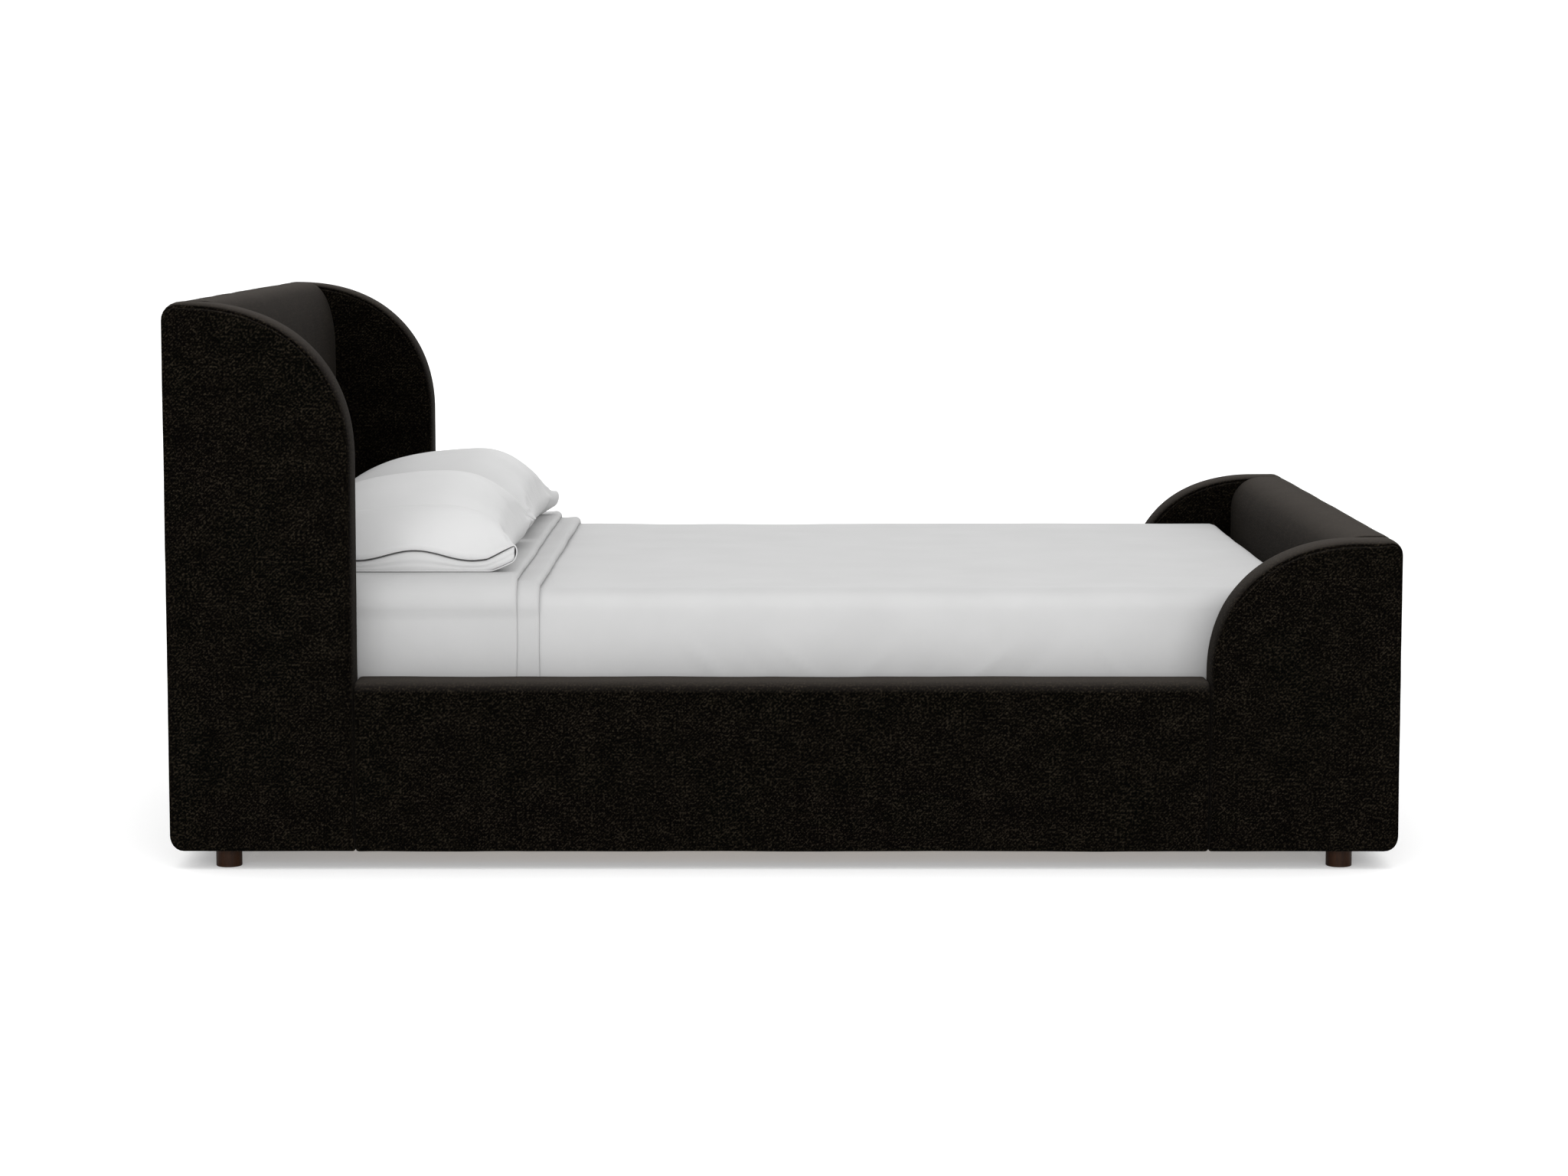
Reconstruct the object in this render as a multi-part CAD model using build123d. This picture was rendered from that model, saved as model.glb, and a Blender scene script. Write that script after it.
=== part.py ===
"""Upholstered sleigh bed for a queen mattress, with its mattress, bedding and pillows.

Millimetres, +Z up. The origin is on the floor under the middle of the bed. The head is at -X,
the foot at +X, the left side at -Y. Left and right are as seen from the foot of the bed.
"""

from build123d import *
import os

# Driving sizes of the whole bed
LENGTH = 2394.0
WIDTH = 1778.0
HEAD_HEIGHT = 1103.0
FOOT_HEIGHT = 644.0
UNDERSIDE = 38.0
RAIL_TOP = 368.0
DECK_TOP = 243.0

# Wings: the padded side panels of the headboard and the footboard
WING_THICK = 108.0
WING_EDGE_R = 10.0
HEAD_WING_DEPTH = 363.0
HEAD_ARC = (316.0, 303.0)
FOOT_WING_DEPTH = 371.0
FOOT_ARC = (292.0, 263.0)
WING_FULLNESS = 0.605

# Centre panels of the headboard and the footboard
HEAD_PANEL_DEPTH = 136.0
HEAD_PANEL_ARC = (65.0, 160.0)
FOOT_PANEL_DEPTH = 135.0
FOOT_PANEL_ARC = (78.0, 78.0)

# Corner roundings of the end outlines
BACK_TOP_R = {"head": 36.0, "foot": 28.0}
BACK_BOTTOM_R = 30.0
FRONT_BOTTOM_R = 8.0

# Upholstery and timber
COVER = 3.0
CORE_THICK = 46.0
CORE_MARGIN = 25.0
FRAME_DEPTH = 60.0
WEB_THICK = 12.0
FRAME_FOOT = 70.0
FRAME_TOP_MARGIN = 40.0
STILE_WIDTH = 70.0

# Side rails
RAIL_THICK = 105.0
RAIL_END_GAP = 0.5
RAIL_TOP_OUTER_R = 22.0
RAIL_TOP_INNER_R = 12.0
RAIL_BOTTOM_R = 2.5
RAIL_END_R = 7.0
RAIL_INNER_BOARD = 22.0
RAIL_OUTER_BOARD = 15.0
RAIL_BOX = 81.0
RAIL_BOX_TOP = 350.0
RAIL_BOX_MARGIN = 12.0
RAIL_BLOCKS = 6

# Deck
CLEAT = (40.0, 45.0)
SLAT = (120.0, 1540.0, 18.0)
SLAT_COUNT = 11
SLAT_SPAN = 2092.0
BEAM = (45.0, 90.0)
CENTRE_LEG_X = 520.0
CENTRE_LEG_SIDE = 45.0
GLIDE_FOOT_R = 19.0
GLIDE_FOOT_H = 10.0
GLIDE_STEM_R = 4.0
GLIDE_BORE_R = 4.3
GLIDE_TRAVEL = 12.0

# Legs and hardware
LEG_R = 25.4
LEG_CHAMFER = 1.5
LEG_FROM_END = 110.0
BOLT_R = 4.0
BOLT_HEAD_R = 7.5
BOLT_HEAD_H = 5.3
PLATE = (140.0, 4.0, 60.0)
PLATE_Z = 125.0

# Mattress and bedding
MATTRESS_X = (-1004.0, 1020.0)
MATTRESS_HALF_WIDTH = 756.0
MATTRESS_THICK = 280.0
MATTRESS_EDGE_R = 32.0
MATTRESS_CORNER_R = 60.0
REST_GAP = 0.3
COVERLET_TOP = 12.0
COVERLET_SIDE = 8.0
COVERLET_HEAD_X = -930.0
TUCK_Z = 262.0
FOLD_STEPS = ((-480.0, 14.0, 5.0), (-526.0, 27.0, 10.0))
PILLOW = (508.0, 740.0, 174.0)
PILLOW_X = -787.0
PILLOW_Y = 378.0
PILLOW_CORNER_R = 90.0
PILLOW_EDGE_R = 80.0
CASE = 3.0

# Derived places
HALF_LENGTH = LENGTH / 2
HALF_WIDTH = WIDTH / 2
WING_INNER = HALF_WIDTH - WING_THICK
WING_MIDDLE = HALF_WIDTH - WING_THICK / 2
CORE_INNER = WING_MIDDLE - CORE_THICK / 2
CORE_OUTER = WING_MIDDLE + CORE_THICK / 2
SLAT_LOW = DECK_TOP - SLAT[2]
CLEAT_LOW = SLAT_LOW - CLEAT[1]
BEAM_LOW = SLAT_LOW - BEAM[1]
RAIL_X = (
    -HALF_LENGTH + HEAD_WING_DEPTH + RAIL_END_GAP,
    HALF_LENGTH - FOOT_WING_DEPTH - RAIL_END_GAP,
)
RAIL_OUTER = WING_INNER + RAIL_THICK
HEAD_PANEL_X = -HALF_LENGTH + HEAD_PANEL_DEPTH
FOOT_PANEL_X = HALF_LENGTH - FOOT_PANEL_DEPTH
MATTRESS_LOW = DECK_TOP + REST_GAP
MATTRESS_TOP = DECK_TOP + MATTRESS_THICK
COVERLET_Z = MATTRESS_TOP + COVERLET_TOP
PILLOW_LOW = COVERLET_Z + FOLD_STEPS[-1][1] + REST_GAP
DEPTHS = {"head": HEAD_WING_DEPTH, "foot": FOOT_WING_DEPTH}
HEIGHTS = {"head": HEAD_HEIGHT, "foot": FOOT_HEIGHT}
WING_ARCS = {"head": HEAD_ARC, "foot": FOOT_ARC}
PANEL_DEPTHS = {"head": HEAD_PANEL_DEPTH, "foot": FOOT_PANEL_DEPTH}
PANEL_ARCS = {"head": HEAD_PANEL_ARC, "foot": FOOT_PANEL_ARC}
ENDS = ("head", "foot")
SIDES = ("left", "right")


def block(x, y, z):
    """A box between pairs of X, Y and Z."""
    size = [high - low for low, high in (x, y, z)]
    middle = [(high + low) / 2 for low, high in (x, y, z)]
    return Pos(*middle) * Box(*size)


def at_end(shape, end):
    """Shapes are drawn for the head end, with their back face at X = 0."""
    placed = Pos(-HALF_LENGTH, 0, 0) * shape
    return placed if end == "head" else placed.mirror(Plane.YZ)


def at_side(shape, side):
    """Shapes are drawn for the right side, at +Y."""
    return shape if side == "right" else shape.mirror(Plane.XZ)


def shoulder_curve(centre, along, up):
    """The front top corner, a little fuller than a quarter ellipse."""
    start, stop = (centre[0] + along, centre[1]), (centre[0], centre[1] + up)
    rising = (start[0], centre[1] + WING_FULLNESS * up)
    levelling = (centre[0] + WING_FULLNESS * along, stop[1])
    return Bezier(start, rising, levelling, stop)


def end_outline(end, depth, arc, inset=0.0, low=None):
    """The side outline of a wing or panel: a box whose front top corner is one long curve."""
    height = HEIGHTS[end]
    low = UNDERSIDE + inset if low is None else low
    back, front, top = inset, depth - inset, height - inset
    centre = (depth - arc[0], height - arc[1])
    top_r = BACK_TOP_R[end] - inset
    bottom_r = max(BACK_BOTTOM_R - inset, 4.0)
    front_r = max(FRONT_BOTTOM_R - inset, 4.0)
    edges = [
        Line((back + bottom_r, low), (front - front_r, low)),
        CenterArc((front - front_r, low + front_r), front_r, 270, 90),
        Line((front, low + front_r), (front, centre[1])),
        shoulder_curve(centre, arc[0] - inset, arc[1] - inset),
        Line((centre[0], top), (back + top_r, top)),
        CenterArc((back + top_r, top - top_r), top_r, 90, 90),
        Line((back, top - top_r), (back, low + bottom_r)),
        CenterArc((back + bottom_r, low + bottom_r), bottom_r, 180, 90),
    ]
    return make_face(edges)


def across(face, y_low, y_high):
    """Extrudes a face drawn in X and Z between two values of Y."""
    return Pos(0, y_low, 0) * extrude(Plane.XZ * face, amount=y_high - y_low, dir=(0, 1, 0))


def wing_body(end, inset):
    """A wing's padded shape with its two outlines rounded over, shrunk by inset."""
    outline = end_outline(end, DEPTHS[end], WING_ARCS[end], inset)
    body = across(outline, WING_INNER + inset, HALF_WIDTH - inset)
    return fillet(body.faces().filter_by(Axis.Y).edges(), WING_EDGE_R - inset)


def wing_core(end):
    """Core board, a batten towards the panel and a block behind the joining plate."""
    outline = end_outline(end, DEPTHS[end], WING_ARCS[end], CORE_MARGIN, UNDERSIDE)
    board = across(outline, CORE_INNER, CORE_OUTER)
    inner = WING_INNER + COVER
    top = HEIGHTS[end] - 2 * FRAME_TOP_MARGIN
    batten = block((CORE_MARGIN, FRAME_DEPTH), (inner, CORE_INNER), (FRAME_FOOT, top))
    front = DEPTHS[end] - 12
    plate_block = block((front - 90, front), (inner, CORE_INNER), (FRAME_FOOT, CLEAT_LOW))
    return [board, batten, plate_block]


def hex_bolt(length, y_head, x, z):
    """A hexagon-headed bolt along +Y whose head bears at y_head."""
    shank = Cylinder(BOLT_R, length, align=(Align.CENTER, Align.CENTER, Align.MIN))
    hexagon = RegularPolygon(BOLT_HEAD_R, 6)
    head = extrude(hexagon, amount=-BOLT_HEAD_H)
    return Pos(x, y_head, z) * Rot(-90, 0, 0) * (shank + head)


def wing_bolts(end):
    """Bolts through the panel's stile into the wing's core."""
    heights = {"head": (240, 560, 880), "foot": (200, 460)}[end]
    head_y = WING_INNER - STILE_WIDTH
    length = CORE_OUTER - 12 - head_y
    return [hex_bolt(length, head_y, 0.7 * FRAME_DEPTH, z) for z in heights]


def plate_bolts(x_seam):
    """Four short bolts through a joining plate, two into the wing and two into the rail."""
    head_y = WING_INNER - PLATE[1]
    length = PLATE[1] + COVER + RAIL_INNER_BOARD
    places = ((-50, 15), (-20, -15), (20, -15), (50, 15))
    return [hex_bolt(length, head_y, x_seam + dx, PLATE_Z + dz) for dx, dz in places]


def panel_frame(end):
    """Two stiles, three cross members, studs and a plywood web, with a block for the beam."""
    depth = PANEL_DEPTHS[end]
    top = HEIGHTS[end] - FRAME_TOP_MARGIN
    back = COVER
    inner = WING_INNER - STILE_WIDTH
    member = 90.0
    pieces = []
    for y in ((-WING_INNER, -inner), (inner, WING_INNER)):
        pieces.append(block((back, back + FRAME_DEPTH), y, (FRAME_FOOT, top)))
    middle = (FRAME_FOOT + top) / 2
    for z in (FRAME_FOOT, middle - member / 2, top - member):
        pieces.append(block((back, back + FRAME_DEPTH), (-inner, inner), (z, z + member)))
    for z in ((FRAME_FOOT + member, middle - member / 2), (middle + member / 2, top - member)):
        for y in (-inner / 3, inner / 3):
            pieces.append(block((back, back + FRAME_DEPTH), (y - 22, y + 22), z))
    web = (back + FRAME_DEPTH, back + FRAME_DEPTH + WEB_THICK)
    pieces.append(block(web, (-WING_INNER, WING_INNER), (FRAME_FOOT, top)))
    pieces.append(beam_block(depth))
    return pieces


def beam_block(depth):
    """Solid packing between a panel's web and its cover, where the beam bracket bears."""
    web_face = COVER + FRAME_DEPTH + WEB_THICK
    return block((web_face, depth - COVER), (-110, 110), (FRAME_FOOT, SLAT_LOW))


def panel_envelope(end):
    """The space a panel's frame takes up."""
    top = HEIGHTS[end] - FRAME_TOP_MARGIN
    depth = FRAME_DEPTH + WEB_THICK
    return block((COVER, COVER + depth), (-WING_INNER, WING_INNER), (FRAME_FOOT, top))


def back_window(end):
    """The flat back opening of a panel's cover, which the back cover closes."""
    low, high = FRAME_FOOT + 5, HEIGHTS[end] - 50
    return block((0, COVER), (-WING_INNER, WING_INNER), (low, high))


def rail_body(inset):
    """A side rail's padded shape, shrunk by inset."""
    x = (RAIL_X[0] + inset, RAIL_X[1] - inset)
    y = (WING_INNER + inset, RAIL_OUTER - inset)
    z = (UNDERSIDE + inset, RAIL_TOP - inset)
    body = block(x, y, z)
    along = body.edges().filter_by(Axis.X)
    top_edges = along.group_by(Axis.Z)[-1].sort_by(Axis.Y)
    body = fillet(top_edges[-1], RAIL_TOP_OUTER_R - inset)
    along = body.edges().filter_by(Axis.X).group_by(Axis.Z)
    body = fillet(along[-1].sort_by(Axis.Y)[0], RAIL_TOP_INNER_R - inset)
    if inset < RAIL_BOTTOM_R:
        along = body.edges().filter_by(Axis.X).group_by(Axis.Z)
        body = fillet(along[0], RAIL_BOTTOM_R)
    ends = body.faces().filter_by(Axis.X)
    upright = [e for e in ends.edges() if e.center().Z > UNDERSIDE + 2 * RAIL_BOTTOM_R]
    return fillet(upright, RAIL_END_R - inset) if inset < RAIL_END_R - 2 else body


def rail_box():
    """The space the rail's timber box takes up."""
    x = (RAIL_X[0] + RAIL_BOX_MARGIN, RAIL_X[1] - RAIL_BOX_MARGIN)
    inner = WING_INNER + COVER
    return block(x, (inner, inner + RAIL_BOX), (UNDERSIDE, RAIL_BOX_TOP))


def rail_frame():
    """Inner and outer board, bottom and top stringers, and spacer blocks between them."""
    x = (RAIL_X[0] + RAIL_BOX_MARGIN, RAIL_X[1] - RAIL_BOX_MARGIN)
    inner = WING_INNER + COVER
    hollow = (inner + RAIL_INNER_BOARD, inner + RAIL_BOX - RAIL_OUTER_BOARD)
    stringer = 22.0
    z = (UNDERSIDE, RAIL_BOX_TOP)
    pieces = [
        block(x, (inner, hollow[0]), z),
        block(x, (hollow[1], inner + RAIL_BOX), z),
        block(x, hollow, (UNDERSIDE, UNDERSIDE + stringer)),
        block(x, hollow, (RAIL_BOX_TOP - stringer, RAIL_BOX_TOP)),
    ]
    block_length = 45.0
    pitch = (x[1] - x[0] - block_length) / (RAIL_BLOCKS - 1)
    for i in range(RAIL_BLOCKS):
        start = x[0] + i * pitch
        height = (UNDERSIDE + stringer, RAIL_BOX_TOP - stringer)
        pieces.append(block((start, start + block_length), hollow, height))
    return pieces


def soft_box(x, half_width, z, edge_r, corner_r):
    """A cushion-like box with round upright corners and round top and bottom edges."""
    body = block(x, (-half_width, half_width), z)
    body = fillet(body.edges().filter_by(Axis.Z), corner_r)
    return fillet(body.faces().filter_by(Axis.Z).edges(), edge_r)


def draped(x, top, side, over):
    """A bedding layer over the top and down both sides, tucked in above the deck."""
    half = MATTRESS_HALF_WIDTH + side
    foot = MATTRESS_X[1] + COVERLET_SIDE
    outer = soft_box(
        (MATTRESS_X[0], foot),
        half,
        (MATTRESS_LOW, MATTRESS_TOP + top),
        MATTRESS_EDGE_R + side,
        MATTRESS_CORNER_R + side,
    )
    keep = block(x, (-half - 1, half + 1), (TUCK_Z, MATTRESS_TOP + top + 1))
    return (outer & keep) - over


def pillow_body(inset):
    """A plump pillow lying flat, long side across the bed, shrunk by inset."""
    half_x, half_y = PILLOW[0] / 2 - inset, PILLOW[1] / 2 - inset
    body = block((-half_x, half_x), (-half_y, half_y), (inset, PILLOW[2] - inset))
    body = fillet(body.edges().filter_by(Axis.Z), PILLOW_CORNER_R - inset)
    body = fillet(body.faces().filter_by(Axis.Z).edges(), PILLOW_EDGE_R - inset)
    return Pos(PILLOW_X, PILLOW_Y, PILLOW_LOW) * body


def leg():
    """A short round wooden leg with a small chamfer where it meets the floor."""
    body = Pos(0, 0, UNDERSIDE / 2) * Cylinder(LEG_R, UNDERSIDE)
    return chamfer(body.edges().group_by(Axis.Z)[0], LEG_CHAMFER)


def beam_bracket(x_face, inward):
    """A steel pocket on a panel that the centre beam drops into."""
    sheet, half, reach = 3.0, BEAM[0] / 2, 50.0
    back = sorted((x_face, x_face + inward * sheet))
    pocket = sorted((x_face, x_face + inward * reach))
    top = BEAM_LOW + 0.6 * BEAM[1]
    plate = block(back, (-half - 25, half + 25), (BEAM_LOW - sheet, top))
    shelf = block(pocket, (-half - sheet, half + sheet), (BEAM_LOW - sheet, BEAM_LOW))
    bracket = plate + shelf
    for y in ((-half - sheet, -half), (half, half + sheet)):
        bracket += block(pocket, y, (BEAM_LOW - sheet, top))
    return bracket


def round_bar(radius, z_low, z_high, x=0.0, y=0.0):
    """An upright round bar between two heights."""
    return Pos(x, y, (z_low + z_high) / 2) * Cylinder(radius, z_high - z_low)


parts = {}


def add_node(name, *shapes):
    """Collects the solids of one named piece."""
    solids = [solid for shape in shapes for solid in shape.solids()]
    parts[name] = Compound(children=solids) if len(solids) > 1 else solids[0]


# Hardware that passes through other pieces comes first, so that its holes can be cut
bolts_at_wings = {
    (end, side): [at_side(at_end(bolt, end), side) for bolt in wing_bolts(end)]
    for end in ENDS
    for side in SIDES
}
bolts_at_plates = {
    (end, side): [at_side(bolt, side) for bolt in plate_bolts(x)]
    for end, x in zip(ENDS, RAIL_X)
    for side in SIDES
}
leg_bolt_top = UNDERSIDE + 45
leg_places = {
    (end, side): (x * (HALF_LENGTH - LEG_FROM_END), y * WING_MIDDLE)
    for end, x in zip(ENDS, (-1, 1))
    for side, y in zip(SIDES, (-1, 1))
}
bolts_at_legs = {
    key: round_bar(BOLT_R, 12, leg_bolt_top, *place) for key, place in leg_places.items()
}
add_node("wing_bolts", *[bolt for group in bolts_at_wings.values() for bolt in group])
add_node("rail_plate_bolts", *[bolt for group in bolts_at_plates.values() for bolt in group])

# Headboard and footboard panels
for end in ENDS:
    depth, arc = PANEL_DEPTHS[end], PANEL_ARCS[end]
    bolts = bolts_at_wings[(end, "left")] + bolts_at_wings[(end, "right")]
    frame = [at_end(piece, end) for piece in panel_frame(end)]
    for bolt in bolts:
        frame = [piece - bolt for piece in frame]
    add_node(f"{end}board_frame", *frame)
    inner = across(end_outline(end, depth, arc, COVER), -WING_INNER, WING_INNER)
    foam = inner - panel_envelope(end) - beam_block(depth)
    add_node(f"{end}board_foam", at_end(foam, end))
    outer = across(end_outline(end, depth, arc), -WING_INNER, WING_INNER)
    add_node(f"{end}board_cover", at_end(outer - inner - back_window(end), end))
    add_node(f"{end}board_back_cover", at_end(back_window(end), end))

# Wings
for end in ENDS:
    outer, inner, core = wing_body(end, 0), wing_body(end, COVER), wing_core(end)
    cover, foam = outer - inner, inner
    for piece in core:
        cover, foam = cover - piece, foam - piece
    for side in SIDES:
        holes = bolts_at_wings[(end, side)] + bolts_at_plates[(end, side)]
        holes.append(bolts_at_legs[(end, side)])
        shapes = {"core": core, "foam": [foam], "cover": [cover]}
        for kind, pieces in shapes.items():
            pieces = [at_side(at_end(piece, end), side) for piece in pieces]
            for hole in holes:
                pieces = [piece - hole for piece in pieces]
            add_node(f"{end}_wing_{side}_{kind}", *pieces)

# Side rails, with the cleats that carry the slats
rail_outer, rail_inner = rail_body(0), rail_body(COVER)
cleat_y = (WING_INNER - CLEAT[0], WING_INNER)
for side in SIDES:
    holes = bolts_at_plates[("head", side)] + bolts_at_plates[("foot", side)]
    frame = [at_side(piece, side) for piece in rail_frame()]
    cover = at_side(rail_outer - rail_inner - rail_box(), side)
    for hole in holes:
        frame = [piece - hole for piece in frame]
        cover -= hole
    add_node(f"side_rail_{side}_frame", *frame)
    add_node(f"side_rail_{side}_foam", at_side(rail_inner - rail_box(), side))
    add_node(f"side_rail_{side}_cover", cover)
    cleat = block((HEAD_PANEL_X, FOOT_PANEL_X), cleat_y, (CLEAT_LOW, SLAT_LOW))
    add_node(f"cleat_{side}", at_side(cleat, side))

plates = []
for (end, side), bolts in bolts_at_plates.items():
    x = dict(zip(ENDS, RAIL_X))[end]
    plate_x = (x - PLATE[0] / 2, x + PLATE[0] / 2)
    plate_z = (PLATE_Z - PLATE[2] / 2, PLATE_Z + PLATE[2] / 2)
    plate = at_side(block(plate_x, (WING_INNER - PLATE[1], WING_INNER), plate_z), side)
    for bolt in bolts:
        plate -= bolt
    plates.append(plate)
add_node("rail_joining_plates", *plates)

# Centre beam in its two brackets, and the support legs under it
bracket_sheet = 3.0
beam_x = (HEAD_PANEL_X + bracket_sheet, FOOT_PANEL_X - bracket_sheet)
beam_y = (-BEAM[0] / 2, BEAM[0] / 2)
beam = block(beam_x, beam_y, (BEAM_LOW, SLAT_LOW))
centre_leg_low = GLIDE_FOOT_H + GLIDE_TRAVEL + 1
centre_bolts = []
for number, x in enumerate((-CENTRE_LEG_X, CENTRE_LEG_X), start=1):
    half = CENTRE_LEG_SIDE / 2
    bolt = round_bar(BOLT_R, BEAM_LOW - 30, BEAM_LOW + 40, x)
    stem_top = centre_leg_low + 20
    bore = round_bar(GLIDE_BORE_R, centre_leg_low, stem_top + GLIDE_TRAVEL + 4, x)
    post = block((x - half, x + half), (-half, half), (centre_leg_low, BEAM_LOW))
    beam -= bolt
    add_node(f"centre_leg_{number}", post - bore - bolt)
    stem = round_bar(GLIDE_STEM_R, GLIDE_FOOT_H, stem_top, x)
    add_node(f"levelling_glide_{number}", round_bar(GLIDE_FOOT_R, 0, GLIDE_FOOT_H, x) + stem)
    centre_bolts.append(bolt)
add_node("centre_beam", beam)
add_node("beam_brackets", beam_bracket(HEAD_PANEL_X, 1), beam_bracket(FOOT_PANEL_X, -1))

# Slats
slat_pitch = (SLAT_SPAN - SLAT[0]) / (SLAT_COUNT - 1)
for number in range(SLAT_COUNT):
    x = -SLAT_SPAN / 2 + number * slat_pitch
    slat = block((x, x + SLAT[0]), (-SLAT[1] / 2, SLAT[1] / 2), (SLAT_LOW, DECK_TOP))
    slat = fillet(slat.edges().filter_by(Axis.Z), 6)
    add_node(f"slat_{number + 1:02d}", slat)

# Legs
for (end, side), place in leg_places.items():
    body = Pos(*place, 0) * leg()
    add_node(f"leg_{end}_{side}", body - bolts_at_legs[(end, side)])
add_node("leg_bolts", *bolts_at_legs.values(), *centre_bolts)

# Mattress, coverlet and the top sheet folded back over it in two steps
mattress = soft_box(
    MATTRESS_X,
    MATTRESS_HALF_WIDTH,
    (MATTRESS_LOW, MATTRESS_TOP),
    MATTRESS_EDGE_R,
    MATTRESS_CORNER_R,
)
add_node("mattress", mattress)
cover_x = (COVERLET_HEAD_X, MATTRESS_X[1] + COVERLET_SIDE)
coverlet = draped(cover_x, COVERLET_TOP, COVERLET_SIDE, mattress)
add_node("coverlet", coverlet)
under = draped(cover_x, COVERLET_TOP, COVERLET_SIDE, mattress) + (
    mattress & block(cover_x, (-WING_INNER, WING_INNER), (0, COVERLET_Z))
)
layers = [
    draped((COVERLET_HEAD_X, x), COVERLET_TOP + top, COVERLET_SIDE + side, under)
    for x, top, side in FOLD_STEPS
]
add_node("top_sheet", layers[0] + layers[1])

# Pillows: an insert inside a case that is open at its outer end
insert, case_outer = pillow_body(CASE), pillow_body(0)
mouth = Pos(0, PILLOW[1] / 2, 0) * insert
for side in SIDES:
    add_node(f"pillow_insert_{side}", at_side(insert, side))
    add_node(f"pillowcase_{side}", at_side(case_outer - insert - mouth, side))

os.makedirs("parts", exist_ok=True)
for name, shape in parts.items():
    export_step(shape, f"parts/{name}.step")
print(len(parts), "nodes")
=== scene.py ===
import math
import bmesh
import bpy
import numpy as np
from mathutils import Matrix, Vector, noise
from mathutils.bvhtree import BVHTree


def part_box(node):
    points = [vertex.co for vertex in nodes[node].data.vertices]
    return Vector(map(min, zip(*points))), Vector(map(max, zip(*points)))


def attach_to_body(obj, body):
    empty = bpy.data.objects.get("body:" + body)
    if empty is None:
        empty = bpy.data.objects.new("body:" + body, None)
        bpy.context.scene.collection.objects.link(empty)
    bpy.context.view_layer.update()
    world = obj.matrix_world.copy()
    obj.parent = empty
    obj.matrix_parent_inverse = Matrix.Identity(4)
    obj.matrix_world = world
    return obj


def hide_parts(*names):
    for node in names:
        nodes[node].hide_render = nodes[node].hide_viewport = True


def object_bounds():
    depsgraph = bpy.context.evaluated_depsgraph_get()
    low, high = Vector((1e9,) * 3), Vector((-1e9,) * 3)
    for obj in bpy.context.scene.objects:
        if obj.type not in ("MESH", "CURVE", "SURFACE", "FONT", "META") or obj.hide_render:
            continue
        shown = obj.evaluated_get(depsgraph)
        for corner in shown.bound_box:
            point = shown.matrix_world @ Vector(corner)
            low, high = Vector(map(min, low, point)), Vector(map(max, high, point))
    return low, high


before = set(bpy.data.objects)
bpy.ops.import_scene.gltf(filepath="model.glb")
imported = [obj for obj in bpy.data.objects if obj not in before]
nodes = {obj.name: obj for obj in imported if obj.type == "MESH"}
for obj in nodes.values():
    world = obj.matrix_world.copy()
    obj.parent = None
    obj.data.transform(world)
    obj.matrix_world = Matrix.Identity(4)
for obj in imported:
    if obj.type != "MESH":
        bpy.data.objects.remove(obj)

cad_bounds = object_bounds()

# Upholstery, metres: a wing's seam inside its outline, the seam's groove and how far it spreads
# over the face and the band, and how much a face swells and how far from the seam
SEAM_INSET = 0.0115
SEAM_DEPTH = 0.0018
FACE_GROOVE = 0.0016
BAND_GROOVE = 0.0022
FACE_PUFF = 0.0016
PUFF_REACH = 0.02
WING_POWER = 3.2
STEP = 0.009
WALL = 0.003
FACE_RINGS = (0.165, 0.14, 0.12, 0.10, 0.085, 0.07, 0.056, 0.045, 0.036, 0.029, 0.024, 0.020,
              0.0172, 0.0152, 0.0138, 0.0128, 0.010, 0.008, 0.0065)
# The panels' covers pass this far into the wings, and every cover this far under the frame.
LAP = 0.0012
UNDER = 0.0028
# How much less a wing is crowned at its back and at its bottom, and how far that reaches
BACK_FLATNESS = 0.55
BOTTOM_FLATNESS = 0.85
FLATNESS_REACH = 0.05
# Lumps in the padding: the broad ones' size, the fine ones' size and their share of the height
LUMP_SIZE = 0.17
FINE_LUMP_SIZE = 0.055
FINE_LUMP_SHARE = 0.3

# Corner radii (along the bed, upright) of the end outlines
HEAD_WING_ARC = (0.316, 0.303)
FOOT_WING_ARC = (0.292, 0.263)
WING_FULLNESS = 0.605
HEAD_PANEL_ARC = (0.065, 0.160)
FOOT_PANEL_ARC = (0.078, 0.078)
HEAD_BACK_TOP = (0.036, 0.036)
FOOT_BACK_TOP = (0.028, 0.028)
BACK_BOTTOM = (0.030, 0.030)
FRONT_BOTTOM = (0.004, 0.004)
# Corners above this radius, or with two unlike radii, take the fuller shoulder curve.
PLAIN_ROUND = 0.07
LEAST_RADIUS = 0.0015
CORNER_STEPS = 6
BAND_STEPS = 14


# ---------------------------------------- mesh helpers

def new_object(name, vertices, faces, smooth=True):
    """A mesh object in the row frame from vertex and face lists."""
    mesh = bpy.data.meshes.new(name)
    mesh.from_pydata([tuple(v) for v in vertices], [], [tuple(f) for f in faces])
    mesh.validate()
    mesh.polygons.foreach_set("use_smooth", [smooth] * len(mesh.polygons))
    obj = bpy.data.objects.new(name, mesh)
    bpy.context.scene.collection.objects.link(obj)
    return obj


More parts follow.
